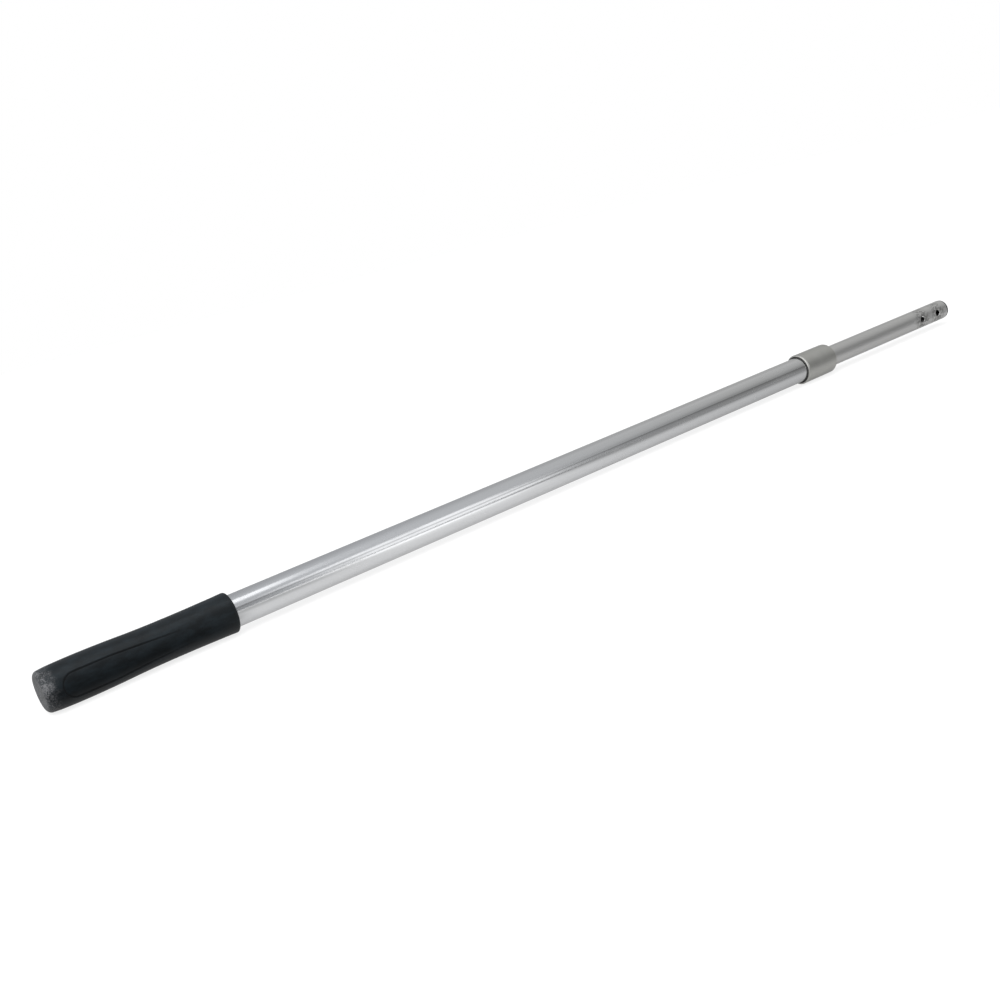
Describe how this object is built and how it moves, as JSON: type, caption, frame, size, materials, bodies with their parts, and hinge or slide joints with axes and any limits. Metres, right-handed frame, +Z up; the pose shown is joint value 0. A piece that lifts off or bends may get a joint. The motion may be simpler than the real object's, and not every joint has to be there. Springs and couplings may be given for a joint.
{
  "type": "telescopic sign staff",
  "caption": "Telescopic aluminium staff of a hand-held stop/slow traffic paddle, with a moulded hand grip, a twist-lock collar and cross holes near the tip for the sign blade.",
  "frame": {"origin": "centre of the flat butt face, on the staff's axis", "axes": "+X along the staff from the butt to the tip, +Z up as it lies, and the bolt holes run along Y"},
  "size_m": [1.3, 0.0396, 0.0404],
  "materials": {
    "grip_black": "fine matte moulded black",
    "outer_aluminium": "bright drawn aluminium",
    "plug_black": "matte",
    "ferrule_black": "satin moulded black",
    "rivet": "plain",
    "spring_steel": "plain spring steel",
    "nylon": "natural nylon",
    "slip_bronze": "plain",
    "collar_satin": "satin turned",
    "wiper_rubber": "matte black",
    "inner_aluminium": "satin aluminium"
  },
  "bodies": {
    "outer": {"grip": "grip_black", "outer_tube": "outer_aluminium", "tube_butt_plug": "plug_black", "threaded_ferrule": "ferrule_black", "ferrule_rivet_1": "rivet", "ferrule_rivet_2": "rivet", "ferrule_rivet_3": "rivet", "collar_stop_ring": "spring_steel", "collet": "nylon"},
    "slip": {"slip_ring": "slip_bronze"},
    "collar": {"lock_collar": "collar_satin", "collar_wiper": "wiper_rubber"},
    "slider": {"slide_bush": "nylon"},
    "inner": {"inner_tube": "inner_aluminium", "inner_end_plug": "plug_black", "bush_clip_1": "spring_steel", "bush_clip_2": "spring_steel", "stop_bush": "nylon", "stop_rivet_1": "rivet", "stop_rivet_2": "rivet", "tip_plug": "plug_black"}
  },
  "joints": [
    {"name": "extend", "type": "slide", "parent": "outer", "child": "slider", "axis": [1, 0, 0], "range_m": [0, 0.815]},
    {"name": "spin", "type": "hinge", "parent": "slider", "child": "inner", "pos_m": [0.0724, 0, 0], "axis": [1, 0, 0], "continuous": true},
    {"name": "slip_advance", "type": "slide", "parent": "outer", "child": "slip", "axis": [1, 0, 0], "range_m": [0, 0.00241]},
    {"name": "collar_turn", "type": "hinge", "parent": "slip", "child": "collar", "pos_m": [1.019, 0, 0], "axis": [1, 0, 0], "range_deg": [0, 270]}
  ],
  "couplings": [
    {"joint": "slip_advance", "follows": "collar_turn", "m_per_rad": 0.0005093}
  ]
}
